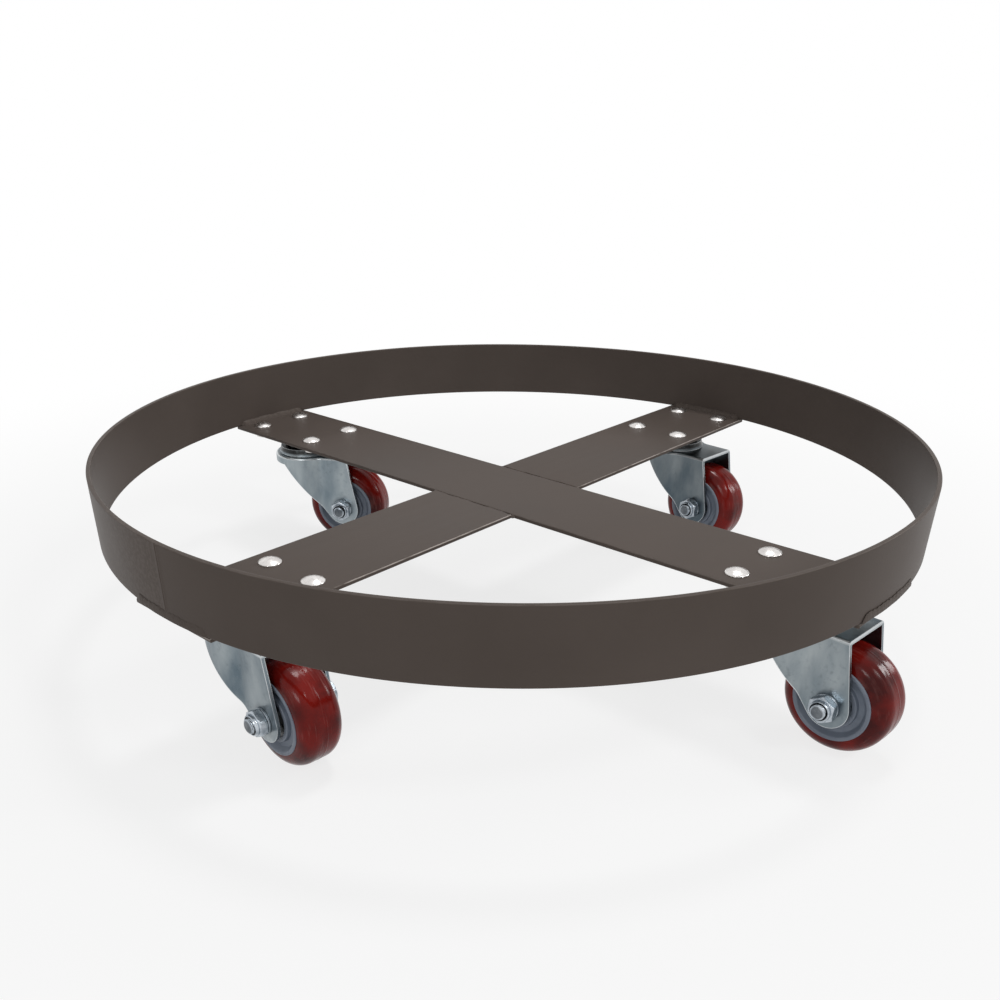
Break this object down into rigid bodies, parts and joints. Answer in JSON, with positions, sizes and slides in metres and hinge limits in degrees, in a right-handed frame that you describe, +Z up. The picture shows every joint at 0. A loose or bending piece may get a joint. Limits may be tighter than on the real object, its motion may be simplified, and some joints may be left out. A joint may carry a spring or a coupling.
{
  "type": "drum trolley",
  "caption": "Low round trolley for a steel drum: flat steel hoop on a flat-bar cross, carried by swivel castors with dark red urethane wheels.",
  "frame": {"origin": "on the floor, under the centre of the hoop", "axes": "+Z up; +X to the right and +Y away as in the picture; the cross lies on the diagonals, its long bar from back left to front right"},
  "size_m": [0.62, 0.62, 0.156],
  "materials": {
    "frame_paint": "semi-gloss dark grey-brown paint",
    "bright_fasteners": "bright zinc plate",
    "zinc_pressing": "blue zinc plate on pressed steel",
    "axle_steel": "bright zinc plate",
    "bearing_steel": "ground and polished",
    "core_plastic": "moulded grey nylon",
    "tread_urethane": "glossy dark red polyurethane"
  },
  "bodies": {
    "frame": {"hoop": "frame_paint", "long_bar": "frame_paint", "right_half_bar": "frame_paint", "left_half_bar": "frame_paint", "weld_beads": "frame_paint", "castor_bolts": "bright_fasteners", "castor_nuts": "bright_fasteners", "front_right_plate": "zinc_pressing", "front_right_king_pin": "zinc_pressing", "front_right_lower_cap": "zinc_pressing", "back_right_plate": "zinc_pressing", "back_right_king_pin": "zinc_pressing", "back_right_lower_cap": "zinc_pressing", "back_left_plate": "zinc_pressing", "back_left_king_pin": "zinc_pressing", "back_left_lower_cap": "zinc_pressing", "front_left_plate": "zinc_pressing", "front_left_king_pin": "zinc_pressing", "front_left_lower_cap": "zinc_pressing"},
    "front_right_swivel": {"front_right_fork": "zinc_pressing", "front_right_swivel_balls": "bearing_steel", "front_right_axle_bolt": "axle_steel", "front_right_axle_nut": "axle_steel", "front_right_axle_washers": "axle_steel", "front_right_axle_sleeve": "axle_steel"},
    "front_right_wheel": {"front_right_wheel_core": "core_plastic", "front_right_tread": "tread_urethane", "front_right_bearing_rings": "bearing_steel", "front_right_bearing_balls": "bearing_steel"},
    "back_right_swivel": {"back_right_fork": "zinc_pressing", "back_right_swivel_balls": "bearing_steel", "back_right_axle_bolt": "axle_steel", "back_right_axle_nut": "axle_steel", "back_right_axle_washers": "axle_steel", "back_right_axle_sleeve": "axle_steel"},
    "back_right_wheel": {"back_right_wheel_core": "core_plastic", "back_right_tread": "tread_urethane", "back_right_bearing_rings": "bearing_steel", "back_right_bearing_balls": "bearing_steel"},
    "back_left_swivel": {"back_left_fork": "zinc_pressing", "back_left_swivel_balls": "bearing_steel", "back_left_axle_bolt": "axle_steel", "back_left_axle_nut": "axle_steel", "back_left_axle_washers": "axle_steel", "back_left_axle_sleeve": "axle_steel"},
    "back_left_wheel": {"back_left_wheel_core": "core_plastic", "back_left_tread": "tread_urethane", "back_left_bearing_rings": "bearing_steel", "back_left_bearing_balls": "bearing_steel"},
    "front_left_swivel": {"front_left_fork": "zinc_pressing", "front_left_swivel_balls": "bearing_steel", "front_left_axle_bolt": "axle_steel", "front_left_axle_nut": "axle_steel", "front_left_axle_washers": "axle_steel", "front_left_axle_sleeve": "axle_steel"},
    "front_left_wheel": {"front_left_wheel_core": "core_plastic", "front_left_tread": "tread_urethane", "front_left_bearing_rings": "bearing_steel", "front_left_bearing_balls": "bearing_steel"}
  },
  "joints": [
    {"name": "front_right_swivel", "type": "hinge", "parent": "frame", "child": "front_right_swivel", "pos_m": [0.1796, -0.1796, 0.0923], "axis": [0, 0, 1], "continuous": true},
    {"name": "front_right_roll", "type": "hinge", "parent": "front_right_swivel", "child": "front_right_wheel", "pos_m": [0.20645, -0.2106, 0.0375], "axis": [0.7559, 0.6547, 0], "continuous": true},
    {"name": "back_right_swivel", "type": "hinge", "parent": "frame", "child": "back_right_swivel", "pos_m": [0.1796, 0.1796, 0.0923], "axis": [0, 0, 1], "continuous": true},
    {"name": "back_right_roll", "type": "hinge", "parent": "back_right_swivel", "child": "back_right_wheel", "pos_m": [0.20629, 0.14847, 0.0375], "axis": [0.7593, 0.6508, 0], "continuous": true},
    {"name": "back_left_swivel", "type": "hinge", "parent": "frame", "child": "back_left_swivel", "pos_m": [-0.1796, 0.1796, 0.0923], "axis": [0, 0, 1], "continuous": true},
    {"name": "back_left_roll", "type": "hinge", "parent": "back_left_swivel", "child": "back_left_wheel", "pos_m": [-0.14025, 0.1681, 0.0375], "axis": [0.2807, 0.9598, 0], "continuous": true},
    {"name": "front_left_swivel", "type": "hinge", "parent": "frame", "child": "front_left_swivel", "pos_m": [-0.1796, -0.1796, 0.0923], "axis": [0, 0, 1], "continuous": true},
    {"name": "front_left_roll", "type": "hinge", "parent": "front_left_swivel", "child": "front_left_wheel", "pos_m": [-0.15265, -0.2105, 0.0375], "axis": [0.7536, 0.6574, 0], "continuous": true}
  ]
}
